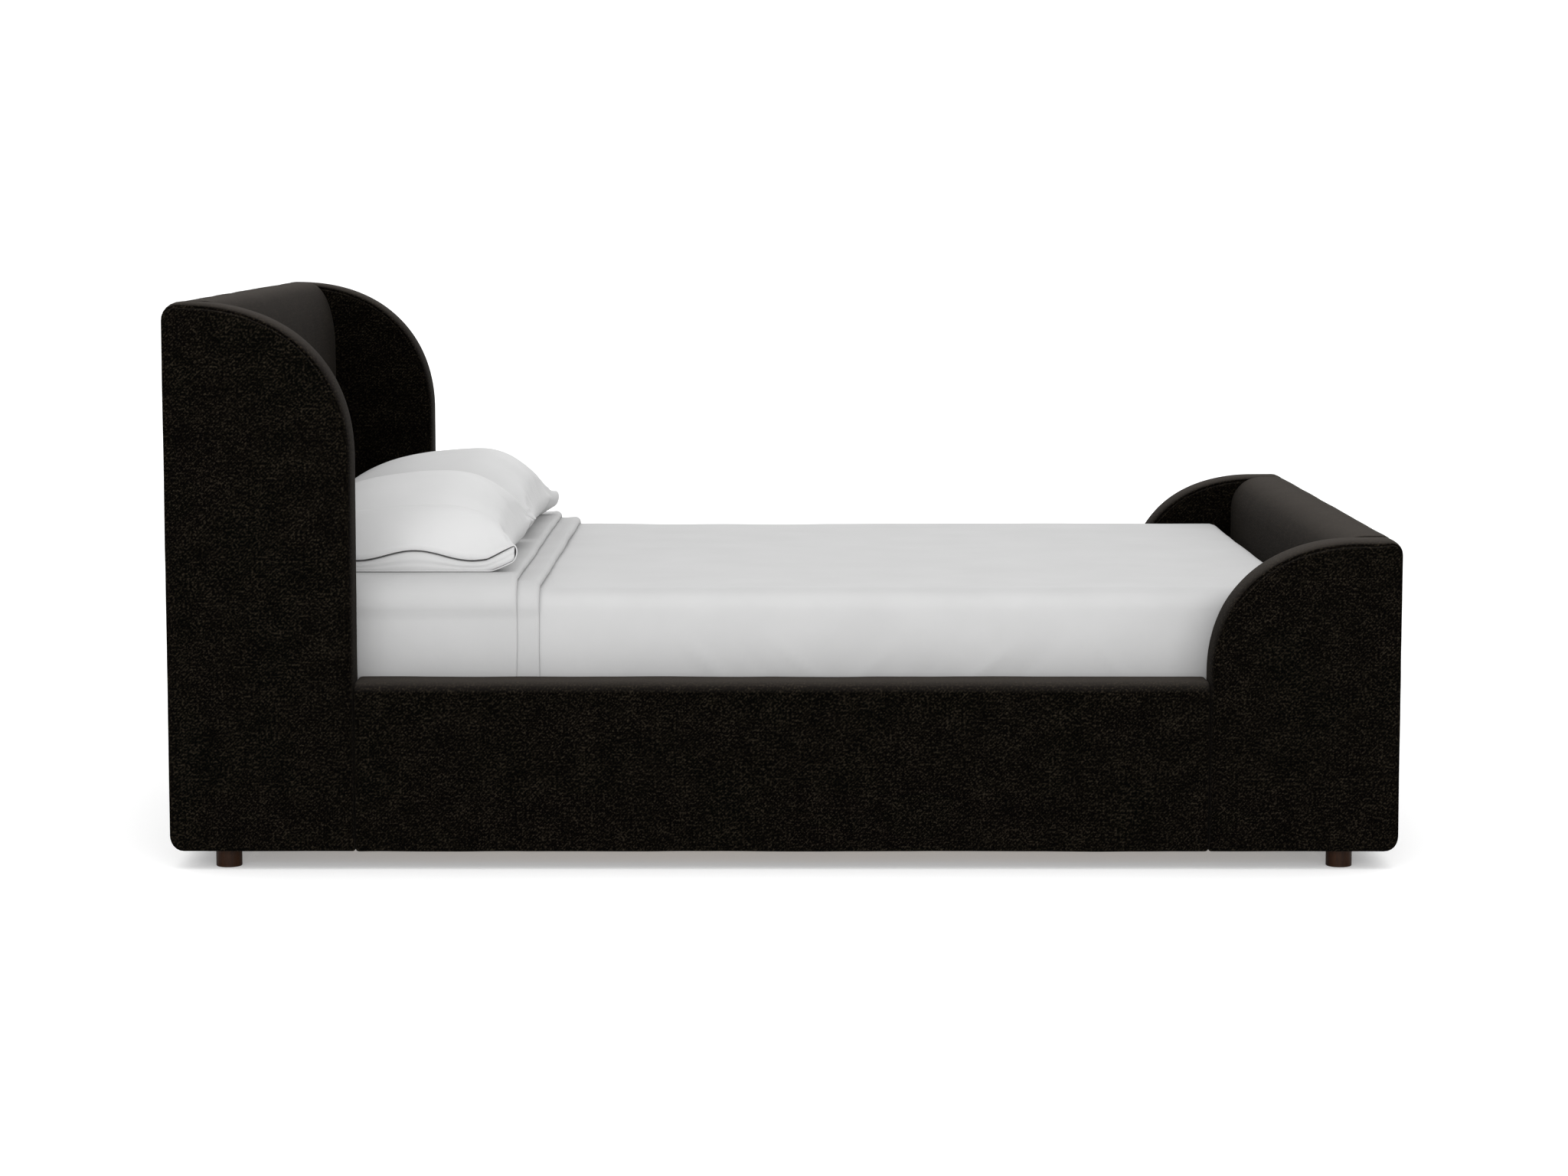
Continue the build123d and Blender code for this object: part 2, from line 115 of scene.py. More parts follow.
def rounded_box_outline(low, high, radii, inset, step=STEP):
    """A box in two axes with rounded corners, as points with the inset applied.

    radii are for the corners (high, low), (high, high), (low, high), (low, low), in that order.
    The number of points doesn't depend on the inset.
    """
    corner_signs = ((1, -1), (1, 1), (-1, 1), (-1, -1))
    points = []
    for index, ((sx, sz), (rx, rz)) in enumerate(zip(corner_signs, radii)):
        start_angle = math.radians(270 + 90 * index)
        cos, sin = math.cos(start_angle), math.sin(start_angle)
        full_x = high[0] if sx > 0 else low[0]
        full_z = high[1] if sz > 0 else low[1]
        shrunk_x, shrunk_z = max(rx - inset, LEAST_RADIUS), max(rz - inset, LEAST_RADIUS)
        centre_x = full_x - sx * (inset + shrunk_x)
        centre_z = full_z - sz * (inset + shrunk_z)
        shoulder = max(rx, rz) > PLAIN_ROUND or rx != rz
        count = max(CORNER_STEPS, int(0.5 * math.pi * (rx + rz) / 2 / step))
        for k in range(count + 1):
            first, second = quarter(k / count, shoulder)
            points.append((centre_x + shrunk_x * (first * cos - second * sin),
                           centre_z + shrunk_z * (first * sin + second * cos)))
        following = (index + 1) % 4
        next_rx, next_rz = radii[following]
        if corner_signs[following][0] == sx:
            span = high[1] - low[1] - (rz + next_rz)
        else:
            span = high[0] - low[0] - (rx + next_rx)
        points.append(("line", max(2, int(span / step))))
    return resolve_lines(points)


def quarter(share, shoulder):
    """A quarter circle, or the slightly fuller shoulder curve, from (1, 0) to (0, 1)."""
    if not shoulder:
        return math.cos(0.5 * math.pi * share), math.sin(0.5 * math.pi * share)
    rest = 1 - share
    handle = 3 * rest * share * WING_FULLNESS
    return (rest ** 3 + 3 * rest * rest * share + handle * share,
            share ** 3 + 3 * rest * share * share + handle * rest)


def resolve_lines(points):
    """Replaces each line marker with evenly spaced points between its neighbours."""
    out = []
    total = len(points)
    for i, point in enumerate(points):
        if point[0] != "line":
            out.append(point)
            continue
        a, b = points[i - 1], points[(i + 1) % total]
        for k in range(1, point[1]):
            t = k / point[1]
            out.append((a[0] + (b[0] - a[0]) * t, a[1] + (b[1] - a[1]) * t))
    return np.array(out)


def band_profile(half, crown, along, power, seam_depth, face_puff, step):
    """Cross-section of a sewn slab, as rings of (offset from the middle, inset, kind)."""
    rings = []
    for inset in FACE_RINGS:
        away = inset - crown
        if away > 0.0008:
            drop = (face_puff * math.exp(-away / PUFF_REACH)
                    + seam_depth * math.exp(-(away / FACE_GROOVE) ** 2))
            rings.append((half - drop, inset, "face"))
    rings.append((half - face_puff - seam_depth, crown, "seam"))
    along = min(along, half)
    edge = half - face_puff
    straight = max(half - along, 0.0)
    for k in range(1, BAND_STEPS + 1):
        angle = 0.5 * math.pi * k / BAND_STEPS
        rise = math.sin(angle) ** (2 / power)
        sink = seam_depth * math.exp(-(rise * crown / BAND_GROOVE) ** 2)
        reach = straight + (edge - straight) * math.cos(angle) ** (2 / power)
        rings.append((reach - sink, crown * (1 - rise), "band"))
    mirrored = [(-c, inset, kind) for c, inset, kind in reversed(rings)]
    if straight < 0.001:
        return rings + mirrored[1:]
    spans = max(1, int(2 * straight / step))
    middle = [(straight - 2 * straight * k / spans, 0.0, "band") for k in range(1, spans)]
    return rings + middle + mirrored


def ease(share):
    """A smooth step from 0 to 1."""
    return share * share * (3 - 2 * share)


def ring_faces(rings, count):
    """Quads between neighbouring closed rings of count points each."""
    return [(i * count + k, i * count + (k + 1) % count,
             (i + 1) * count + (k + 1) % count, (i + 1) * count + k)
            for i in range(rings - 1) for k in range(count)]


def wobble(point, size, amount, seed):
    """Smooth seeded unevenness of padding, in metres."""
    return noise.noise(Vector(point) / size + Vector((seed, 1.7 * seed, -seed))) * amount


def slab_surface(axes, low, high, radii, c_range, crown, along, power, seam_depth, seed, puff,
                 step, flat_back):
    """Vertices and faces of a padded, sewn slab with closed end faces."""
    face_puff = FACE_PUFF if flat_back is not None else 0.0
    a, b, c = ("xyz".index(letter) for letter in axes)
    half = (c_range[1] - c_range[0]) / 2
    middle = (c_range[1] + c_range[0]) / 2
    sides = (high[1] - low[1], high[0] - low[0], high[1] - low[1], high[0] - low[0])
    reach = ([radii[k][1 - k % 2] for k in range(4)],
             [radii[(k + 1) % 4][1 - k % 2] for k in range(4)])
    room = [side - max(pair) for side, pair in zip(sides, zip(*reach))]
    limit = min(0.85 * min(room), 0.42 * min(sides))
    profile = band_profile(half, crown, along, power, seam_depth, face_puff, 2 * step)
    rings = [ring for ring in profile if ring[1] < limit]
    border = rounded_box_outline(low, high, radii, 0.0, step)
    count = len(border)
    flatness = np.zeros(count)
    if flat_back is not None:
        near_back = np.clip(1 - np.abs(border[:, 0] - flat_back) / FLATNESS_REACH, 0, 1)
        near_bottom = np.clip(1 - (border[:, 1] - low[1]) / FLATNESS_REACH, 0, 1)
        flatness = np.maximum(BACK_FLATNESS * ease(near_back), BOTTOM_FLATNESS * ease(near_bottom))
    vertices = np.zeros((len(rings) * count, 3))
    for i, (offset, inset, _) in enumerate(rings):
        outline = rounded_box_outline(low, high, radii, inset, step)
        if flat_back is not None:
            tighter = rounded_box_outline(low, high, radii, inset - min(inset, crown), step)
            outline += (tighter - outline) * flatness[:, None]
        block = vertices[i * count:(i + 1) * count]
        block[:, a], block[:, b], block[:, c] = outline[:, 0], outline[:, 1], middle + offset
    centre = np.zeros(3)
    centre[a], centre[b], centre[c] = (low[0] + high[0]) / 2, (low[1] + high[1]) / 2, middle
    deepest = min(limit, max(FACE_RINGS))
    if puff:
        for v in range(len(vertices)):
            offset, inset, kind = rings[v // count]
            shift = wobble(vertices[v], LUMP_SIZE, puff, seed)
            shift += wobble(vertices[v], FINE_LUMP_SIZE, FINE_LUMP_SHARE * puff, seed + 9)
            side = 1 if offset > 0 else -1
            if kind == "face":
                from_middle = min(1, max(0, (0.9 * deepest - inset) / 0.04))
                fade = min(1, (inset - crown) / PUFF_REACH) * from_middle
                vertices[v, c] += side * (shift * fade - 0.4 * puff)
            elif kind == "band":
                lean = vertices[v] - centre
                lean[c] = 0
                lean /= max(np.linalg.norm(lean), 1e-6)
                vertices[v] += lean * (0.8 * shift - 0.5 * puff)
    faces = ring_faces(len(rings), count)
    last, total = (len(rings) - 1) * count, len(rings) * count
    for first, middle_point in ((0, total), (last, total + 1)):
        faces += [(first + (k + 1) % count, first + k, middle_point) for k in range(count)]
    middles = [vertices[:count].mean(axis=0), vertices[last:].mean(axis=0)]
    return np.vstack([vertices, middles]), faces


def slab(name, axes, low, high, radii, c_range, power, crown=SEAM_INSET, along=1.0,
         seam_depth=SEAM_DEPTH, seed=1.0, puff=0.0012, step=STEP, wall=WALL, flat_back=None):
    """A sewn fabric skin, wall thick, over an outline in two axes and closed along the third.

    axes names the outline's two axes and the slab's thickness axis, such as "xzy". crown, along
    and power shape its edges. flat_back is where on the first axis they are crowned least.
    """
    vertices, faces = slab_surface(axes, low, high, radii, c_range, crown, along, power,
                                   seam_depth, seed, puff, step, flat_back)
    outer = new_object(name, vertices, faces)
    make_consistent(outer)
    if not wall:
        return outer
    inner_radii = [(max(rx - wall, 0.002), max(rz - wall, 0.002)) for rx, rz in radii]
    vertices, faces = slab_surface(
        axes, (low[0] + wall, low[1] + wall), (high[0] - wall, high[1] - wall), inner_radii,
        (c_range[0] + wall, c_range[1] - wall), crown, along, power, 0.0, seed, puff, 2 * step,
        flat_back)
    inner = new_object(f"{name}_inside", vertices, faces)
    make_consistent(inner)
    inner.data.flip_normals()
    return join(outer, [inner])


def join(target, others):
    """Joins meshes into the first one."""
    work = bmesh.new()
    work.from_mesh(target.data)
    for obj in others:
        work.from_mesh(obj.data)
        bpy.data.objects.remove(obj)
    work.to_mesh(target.data)
    work.free()
    target.data.polygons.foreach_set("use_smooth", [True] * len(target.data.polygons))
    return target


def make_consistent(obj):
    """Points every face of a closed mesh outwards."""
    work = bmesh.new()
    work.from_mesh(obj.data)
    bmesh.ops.recalc_face_normals(work, faces=work.faces)
    work.to_mesh(obj.data)
    work.free()


def get_points(obj):
    """A mesh's vertices as rows of an array."""
    flat = np.empty(len(obj.data.vertices) * 3)
    obj.data.vertices.foreach_get("co", flat)
    return flat.reshape(-1, 3)


def set_points(obj, points):
    """Moves a mesh's vertices to the rows of an array."""
    obj.data.vertices.foreach_set("co", points.reshape(-1))


# ---------------------------------------- materials

def material(name):
    """A new node material and its tree."""
    mat = bpy.data.materials.new(name)
    mat.use_nodes = True
    return mat, mat.node_tree


def wire(node, values):
    """Links a node's inputs to the sockets given for them, or sets them to the values given."""
    for key, value in values.items():
        if isinstance(value, bpy.types.NodeSocket):
            node.id_data.links.new(value, node.inputs[key])
        else:
            node.inputs[key].default_value = value
    return node


def add_node(tree, kind, values):
    """A new shader node with its inputs wired."""
    return wire(tree.nodes.new(f"ShaderNode{kind}"), values)


def finish(mat, values):
    """Wires a material's shader."""
    wire(mat.node_tree.nodes["Principled BSDF"], values)
    return mat


def math_node(tree, operation, *values):
    """A math node's value."""
    node = add_node(tree, "Math", dict(enumerate(values)))
    node.operation = operation
    return node.outputs[0]


def combine(tree, *values):
    """A vector from its components."""
    return add_node(tree, "CombineXYZ", dict(enumerate(values))).outputs[0]


def separate(tree, vector):
    """A vector's three components."""
    return add_node(tree, "SeparateXYZ", {0: vector}).outputs


def coordinates(tree, output="Object"):
    """One of the texture coordinates."""
    return tree.nodes.new("ShaderNodeTexCoord").outputs[output]


def mix_number(tree, factor, low, high):
    """low where factor is 0, high where it is 1."""
    difference = math_node(tree, "SUBTRACT", high, low)
    return math_node(tree, "MULTIPLY_ADD", difference, factor, low)


def surface_coordinates(tree):
    """Two coordinates in the plane a face lies in, in metres, the point and its normal's height."""
    place = coordinates(tree)
    x, y, z = separate(tree, place)
    normal = separate(tree, coordinates(tree, "Normal"))
    nx, ny, nz = (math_node(tree, "ABSOLUTE", normal[i]) for i in range(3))
    facing_x = math_node(tree, "GREATER_THAN", nx, math_node(tree, "MAXIMUM", ny, nz))
    facing_z = math_node(tree, "GREATER_THAN", nz, math_node(tree, "MAXIMUM", nx, ny))
    u = mix_number(tree, facing_x, x, y)
    v = mix_number(tree, facing_z, z, y)
    return u, v, place, normal[2]


def noise_node(tree, vector, scale, detail=2.0, roughness=0.5):
    """A noise texture's value."""
    return add_node(tree, "TexNoise", {"Vector": vector, "Scale": scale, "Detail": detail,
                                       "Roughness": roughness}).outputs["Fac"]


def ramp(tree, factor, stops):
    """A colour ramp from (position, colour) stops."""
    node = add_node(tree, "ValToRGB", {"Fac": factor})
    elements = node.color_ramp.elements
    while len(elements) < len(stops):
        elements.new(0.5)
    for element, (position, colour) in zip(elements, stops):
        element.position = position
        element.color = (*colour, 1.0)
    return node.outputs["Color"]


def shaded(tree, factor, colour, share):
    """A colour that falls to a share of itself where factor is low."""
    return ramp(tree, factor, [(0.3, tuple(share * c for c in colour)), (0.7, colour)])


def bump(tree, height, strength, distance, **previous):
    """A bump node's normal, over the normal of a previous one."""
    return add_node(tree, "Bump", {"Strength": strength, "Distance": distance, "Height": height,
                                   **previous}).outputs["Normal"]


def wave(tree, place, pitch):
    """A sine wave along one coordinate, at a pitch in metres."""
    return math_node(tree, "SINE", math_node(tree, "MULTIPLY", place, 2 * math.pi / pitch))


def upholstery_material():
    """Near-black tweed: charcoal twill, flecked, with light painted onto it where its faces look
    up.
    """
    mat, tree = material("charcoal_tweed")
    u, v, _, upward = surface_coordinates(tree)
    warp = wave(tree, math_node(tree, "ADD", u, v), TWILL_PITCH)
    weft = wave(tree, math_node(tree, "SUBTRACT", u, v), 2 * TWILL_PITCH)
    weave = math_node(tree, "MULTIPLY", math_node(tree, "MULTIPLY_ADD", weft, 0.35, 0.65),
                      math_node(tree, "MULTIPLY_ADD", warp, 0.5, 0.5))
    flecks = noise_node(tree, combine(tree, u, v), FLECK_SCALE, 3.0, 0.72)
    slub_place = combine(tree, math_node(tree, "MULTIPLY", u, 0.2), v)
    slubs = noise_node(tree, slub_place, SLUB_SCALE, 2.0, 0.65)
    broad = noise_node(tree, combine(tree, u, v), BROAD_SCALE)
    yarn = math_node(tree, "MULTIPLY_ADD", flecks, FLECK_SHARE,
                     math_node(tree, "MULTIPLY", slubs, SLUB_SHARE))
    twill = math_node(tree, "MULTIPLY_ADD", weave, WEAVE_SHARE,
                      math_node(tree, "MULTIPLY", broad, BROAD_SHARE))
    heather = math_node(tree, "ADD", yarn, twill)
    # The second ramp adds painted light to the colour, more the more a face looks up.
    colour = add_node(tree, "VectorMath", {0: ramp(tree, heather, YARN_COLOURS),
                                           1: ramp(tree, upward, TOP_LIGHT_COLOURS)}).outputs[0]
    return finish(mat, {
        "Base Color": colour, "Normal": bump(tree, heather, 0.8, 0.0010), "Roughness": 1.0,
        "Specular IOR Level": 0.02, "Sheen Weight": 0.022, "Sheen Roughness": 0.42,
        "Sheen Tint": (1.0, 0.88, 0.78, 1.0)})


def linen_material(name, colour, thread_pitch):
    """Smooth white cotton: a very fine plain weave with soft creases."""
    mat, tree = material(name)
    u, v, place, _ = surface_coordinates(tree)
    threads = math_node(tree, "MULTIPLY", wave(tree, u, thread_pitch), wave(tree, v, thread_pitch))
    clouds = noise_node(tree, place, 7.0, 3.0, 0.55)
    creases = bump(tree, noise_node(tree, place, 26.0), 0.25, 0.002)
    return finish(mat, {
        "Base Color": shaded(tree, clouds, colour, 0.955),
        "Normal": bump(tree, threads, 0.12, 0.0003, Normal=creases), "Roughness": 0.88,
        "Specular IOR Level": 0.18, "Sheen Weight": 0.12, "Sheen Roughness": 0.5})


def wood_material(name, dark, light, roughness, axis, scale=1.0):
    """Wood with grain along one axis: stretched noise rings and fine pores."""
    mat, tree = material(name)
    stretch = [GRAIN_STRETCH * scale if letter == axis else scale for letter in "xyz"]
    mapping = add_node(tree, "Mapping", {"Vector": coordinates(tree), "Scale": stretch})
    rings = noise_node(tree, mapping.outputs[0], 28.0, 4.0, 0.6)
    pores = noise_node(tree, mapping.outputs[0], 420.0, 2.0, 0.6)
    grain = math_node(tree, "MULTIPLY_ADD", pores, 0.35, math_node(tree, "MULTIPLY", rings, 0.75))
    return finish(mat, {
        "Base Color": ramp(tree, grain, [(0.35, dark), (0.72, light)]),
        "Normal": bump(tree, grain, 0.2, 0.0006), "Roughness": roughness,
        "Specular IOR Level": 0.12})


def foam_material():
    """Cut upholstery foam with an open-cell surface, painted darker in its cells' hollows as shade.
    """
    mat, tree = material("cut_foam")
    cells = add_node(tree, "TexVoronoi", {"Vector": coordinates(tree), "Scale": 420.0})
    depth = cells.outputs["Distance"]
    return finish(mat, {
        # Painted shade: the colour is darkest where the bump is lowest, in each cell's hollow.
        "Base Color": ramp(tree, depth, [(0.0, (0.55, 0.49, 0.33)), (0.6, (0.78, 0.73, 0.56))]),
        "Normal": bump(tree, depth, 0.5, 0.0012), "Roughness": 0.95})


def metal_material(name, colour, metallic, roughness):
    """Coated or plated steel with fine scratches and slight colour change."""
    mat, tree = material(name)
    marks = noise_node(tree, coordinates(tree), 160.0, 4.0, 0.6)
    return finish(mat, {
        "Base Color": shaded(tree, marks, colour, 0.8), "Metallic": metallic,
        "Roughness": mix_number(tree, marks, roughness - 0.08, roughness + 0.1),
        "Normal": bump(tree, marks, 0.1, 0.0003)})


def set_material(obj, mat):
    """Gives an object one material."""
    obj.data.materials.clear()
    obj.data.materials.append(mat)


# The tweed: pitch of its twill in metres, scales of its noises, and each one's share of the pattern
TWILL_PITCH = 0.0034
FLECK_SCALE, SLUB_SCALE, BROAD_SCALE = 210, 260, 22
FLECK_SHARE, SLUB_SHARE, WEAVE_SHARE, BROAD_SHARE = 0.70, 0.20, 0.10, 0.10
YARN_COLOURS = ((0.40, (0.0002, 0.0001, 0.0001)), (0.48, (0.0005, 0.0004, 0.0003)),
                (0.56, (0.0013, 0.0010, 0.0006)), (0.65, (0.0170, 0.0136, 0.0093)))
# Painted light added to the tweed's colour by how far a face looks up: none for sideways or
# downward faces, most for faces looking straight up
TOP_LIGHT_COLOURS = ((0.10, (0.0, 0.0, 0.0)), (0.60, (0.0080, 0.0070, 0.0062)),
               (1.00, (0.0280, 0.0245, 0.0215)))
# Wood: how much its pattern is drawn out along the grain, and dark and light colours
GRAIN_STRETCH = 0.07
PINE = ((0.42, 0.27, 0.14), (0.66, 0.48, 0.30))
PALE_PINE = ((0.44, 0.28, 0.15), (0.68, 0.50, 0.31))
WALNUT = ((0.006, 0.0018, 0.0003), (0.028, 0.0088, 0.0016))

tweed = upholstery_material()
coverlet_cloth = linen_material("coverlet_cotton", (0.460, 0.460, 0.460), 0.0013)
sheet_cloth = linen_material("sheet_cotton", (0.435, 0.435, 0.435), 0.0009)
case_cloth = linen_material("pillowcase_cotton", (0.55, 0.55, 0.55), 0.0009)
ticking_cloth = linen_material("mattress_ticking", (0.50, 0.50, 0.49), 0.002)
timber_along = wood_material("pine_along_bed", *PINE, 0.6, "x")
timber_across = wood_material("pine_across_bed", *PALE_PINE, 0.6, "y")
timber_upright = wood_material("pine_upright", *PINE, 0.6, "z")
walnut = wood_material("dark_walnut", *WALNUT, 0.5, "z", scale=1.6)
foam = foam_material()
black_steel = metal_material("black_steel", (0.02, 0.02, 0.021), 0.0, 0.45)
zinc = metal_material("zinc_steel", (0.62, 0.62, 0.63), 1.0, 0.35)
black_plastic = metal_material("black_plastic", (0.018, 0.018, 0.018), 0.0, 0.5)


# ---------------------------------------- upholstery

# Foam stays this far inside a wing's faces. A back cover stands BACK_PROUD of the board's back.
PAD_CLEARANCE = 0.0066
BACK_PROUD = 0.0016
BACK_MARGIN = 0.006
BACK_CORNER = (0.004, 0.004)


def attach(obj, body, slot, *node_names):
    """A piece rides on a body and stands for CAD nodes, which it hides. slot is not used."""
    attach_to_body(obj, body)
    if node_names:
        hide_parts(*node_names)


def end_radii(end, arc, back_top):
    """Corner radii in the order that an outline needs, for a head or foot piece."""
    if end == "head":
        return [FRONT_BOTTOM, arc, back_top, BACK_BOTTOM]
    return [BACK_BOTTOM, back_top, arc, FRONT_BOTTOM]


def upholster(node, obj):
    """Finishes a fabric skin over padding."""
    set_material(obj, tweed)
    attach(obj, "bed_frame", "upholstery_fabric", node)


def cover(stem, axes, radii, power, wing_radii=None, stretch=0.0, **sewing):
    """A padded piece's fabric skin, as long as its CAD cover and stretch more, and its foam."""
    low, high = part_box(f"{stem}_cover")
    a, _, c = ("xyz".index(letter) for letter in axes)
    obj = slab(f"{stem}_fabric", axes, (low[a], low[2] - UNDER), (high[a], high[2]), radii,
               (low[c] - stretch, high[c] + stretch), power, **sewing)
    upholster(f"{stem}_cover", obj)
    foam_pad(stem, wing_radii)


def wing(end, side, arc, back_top, seed):
    """A head or foot wing: two sewn faces joined by a crowned boxing band."""
    stem = f"{end}_wing_{side}"
    low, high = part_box(f"{stem}_cover")
    radii = end_radii(end, arc, back_top)
    cover(stem, "xzy", radii, WING_POWER, radii, seed=seed,
          flat_back=low[0] if end == "head" else high[0])


def panel(end, arc, back_top, seed):
    """The padded centre panel between the wings."""
    cover(f"{end}board", "xzy", end_radii(end, arc, back_top), 2.0, stretch=LAP, crown=0.003,
          along=0.006, seam_depth=0.0, seed=seed)


def rail(side, seed):
    """A padded side rail, butted between the wings."""
    outer, inner, bottom = (0.022, 0.022), (0.012, 0.012), (0.003, 0.003)
    radii = [bottom, outer, inner, bottom] if side == "right" else [bottom, inner, outer, bottom]
    cover(f"side_rail_{side}", "yzx", radii, 2.2, crown=0.005, along=0.009, seam_depth=0.0,
          seed=seed, puff=0.0014)


def foam_pad(stem, wing_radii=None):
    """The foam under a cover, eased in where a wing's cover is crowned."""
    obj = bpy.data.objects.new(f"{stem}_padding", nodes[f"{stem}_foam"].data.copy())
    bpy.context.scene.collection.objects.link(obj)
    if wing_radii:
        low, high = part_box(f"{stem}_cover")
        starts = rounded_box_outline((low[0], low[2]), (high[0], high[2]), wing_radii, 0.0)
        middle, half = (low[1] + high[1]) / 2, (high[1] - low[1]) / 2
        points = get_points(obj)
        along = np.roll(starts, -1, axis=0) - starts
        lengths = np.maximum((along ** 2).sum(axis=1), 1e-12)
        for point in points:
            relative = point[[0, 2]] - starts
            share = np.clip((relative * along).sum(axis=1) / lengths, 0, 1)
            inset = np.sqrt((((relative - along * share[:, None])) ** 2).sum(axis=1).min())
            if inset < SEAM_INSET + 0.004:
                rise = min(1.0, max(0.0, 1 - (inset - WALL) / SEAM_INSET))
                room = (half - PAD_CLEARANCE) * (1 - rise ** WING_POWER) ** (1 / WING_POWER)
                point[1] = middle + max(-room, min(room, point[1] - middle))
        set_points(obj, points)
        obj.data.update()
    set_material(obj, foam)
    attach(obj, "bed_frame", "upholstery_foam", f"{stem}_foam")


def back_cover(end, seed):
    """The fabric panel that closes a board's back, stretched flat inside a shallow turned edge."""
    node = f"{end}board_back_cover"
    low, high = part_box(node)
    x = (low[0] - BACK_PROUD, high[0]) if end == "head" else (low[0], high[0] + BACK_PROUD)
    obj = slab(f"{end}board_back_fabric", "yzx", (low[1] + BACK_MARGIN, low[2]),
               (high[1] - BACK_MARGIN, high[2]), [BACK_CORNER] * 4, x, 2.2, crown=0.0022,
               seam_depth=0.0, seed=seed, puff=0.0, wall=0)
    upholster(node, obj)


for seed, side in enumerate(("left", "right"), start=1):
    wing("head", side, HEAD_WING_ARC, HEAD_BACK_TOP, seed)
    wing("foot", side, FOOT_WING_ARC, FOOT_BACK_TOP, seed + 20)
    rail(side, seed + 40)
panel("head", HEAD_PANEL_ARC, HEAD_BACK_TOP, 61)
panel("foot", FOOT_PANEL_ARC, FOOT_BACK_TOP, 71)
back_cover("head", 81)
back_cover("foot", 91)


# ---------------------------------------- mattress and bedding

# Bedding, metres: the mattress, its welts, the path over it down to inside the rails, the folds
# and the coverlet
MATTRESS_TOP = 0.523
MATTRESS_SIDE = 0.756
MATTRESS_CORNER = (0.060, 0.060)
MATTRESS_STEP = 0.014
WELT_RADIUS = 0.0038
WELT_INSET = 0.0105
WELT_HEIGHT = 0.012
WELT_SIDES = 10
EDGE_ROUND = 0.038
EDGE_STEPS = 9
DROP_LOW = 0.262
DROP_STEP = 0.011
TOP_STEP = 0.016
FOLD_ROUND = 0.011
FOLD_HEAD_X = -0.930
FOLD_ROWS = 34
FOLD_STEPS = 9
COVERLET_ROUND = (0.024, 0.042, 0.036)
COVERLET_STEP = 0.0125
COVERLET_THICKNESS = 0.003
# Drag wrinkles on the cover's sides: each one's place, lean, width and height, then the height
# above the floor of those places, and where the wrinkles are deepest
DRAGS = ((-0.16, 0.9, 0.012, 0.0030), (-0.06, 0.8, 0.010, -0.0022), (0.02, 1.1, 0.014, 0.0026),
         (0.19, -1.0, 0.012, 0.0026), (0.30, -0.8, 0.011, -0.0020), (0.42, -1.2, 0.015, 0.0034),
         (0.50, -0.9, 0.012, -0.0022), (0.64, 0.7, 0.013, 0.0020), (-0.30, -0.6, 0.014, 0.0018))
DRAG_ORIGIN = 0.40
DRAG_MIDDLE = 0.375
DRAG_SPREAD = 0.06


def piping(name, outline, height):
    """A closed welt of round cord under fabric along an outline at one height."""
    count, around = len(outline), WELT_SIDES
    vertices = []
    for i, (x, y) in enumerate(outline):
        ahead, behind = outline[(i + 1) % count], outline[i - 1]
        tangent = np.array([ahead[0] - behind[0], ahead[1] - behind[1]])
        tangent /= np.linalg.norm(tangent)
        outward = np.array([tangent[1], -tangent[0]])
        for k in range(around):
            angle = 2 * math.pi * k / around
            reach = WELT_RADIUS * math.cos(angle)
            vertices.append((x + outward[0] * reach, y + outward[1] * reach,
                             height + WELT_RADIUS * math.sin(angle)))
    faces = []
    for i in range(count):
        for k in range(around):
            j, m = (i + 1) % count, (k + 1) % around
            faces.append((i * around + k, j * around + k, j * around + m, i * around + m))
    obj = new_object(name, vertices, faces)
    make_consistent(obj)
    return obj


def mattress():
    """A mattress with taped top and bottom edges and a softly domed sleeping face."""
    low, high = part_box("mattress")
    corners = [MATTRESS_CORNER] * 4
    body = slab("mattress_body", "xyz", (low[0] + 0.002, low[1] + 0.002),
                (high[0] - 0.002, high[1] - 0.002), corners, (low[2], high[2]), 2.4, crown=0.020,
                along=0.030, seam_depth=0.0015, seed=5, puff=0.002, step=MATTRESS_STEP, wall=0)
    outline = rounded_box_outline((low[0], low[1]), (high[0], high[1]), corners, WELT_INSET,
                                  MATTRESS_STEP)
    welts = [piping("welt", outline, z) for z in (low[2] + WELT_HEIGHT, high[2] - WELT_HEIGHT)]
    obj = join(body, welts)
    set_material(obj, ticking_cloth)
    attach(obj, "mattress", "mattress_ticking", "mattress")


def section_path():
    """The line a bedding layer follows over the mattress, from one hem to the other.

    Each point is (y, z, outward y, outward z), running from the left hem to the right hem.
    """
    straight, flat = MATTRESS_TOP - EDGE_ROUND - DROP_LOW, MATTRESS_SIDE - EDGE_ROUND
    drops, spans = int(straight / DROP_STEP), int(2 * flat / TOP_STEP)
    points = [(-MATTRESS_SIDE, DROP_LOW + straight * k / drops, -1.0, 0.0)
              for k in range(drops + 1)]
    for k in range(1, EDGE_STEPS):
        angle = math.pi - 0.5 * math.pi * k / EDGE_STEPS
        points.append((-MATTRESS_SIDE + EDGE_ROUND + EDGE_ROUND * math.cos(angle),
                       MATTRESS_TOP - EDGE_ROUND + EDGE_ROUND * math.sin(angle),
                       math.cos(angle), math.sin(angle)))
    points += [(-flat + 2 * flat * k / spans, MATTRESS_TOP, 0.0, 1.0) for k in range(spans + 1)]
    points += [(-y, z, -ny, nz) for y, z, ny, nz in reversed(points[:-1 - spans])]
    return points


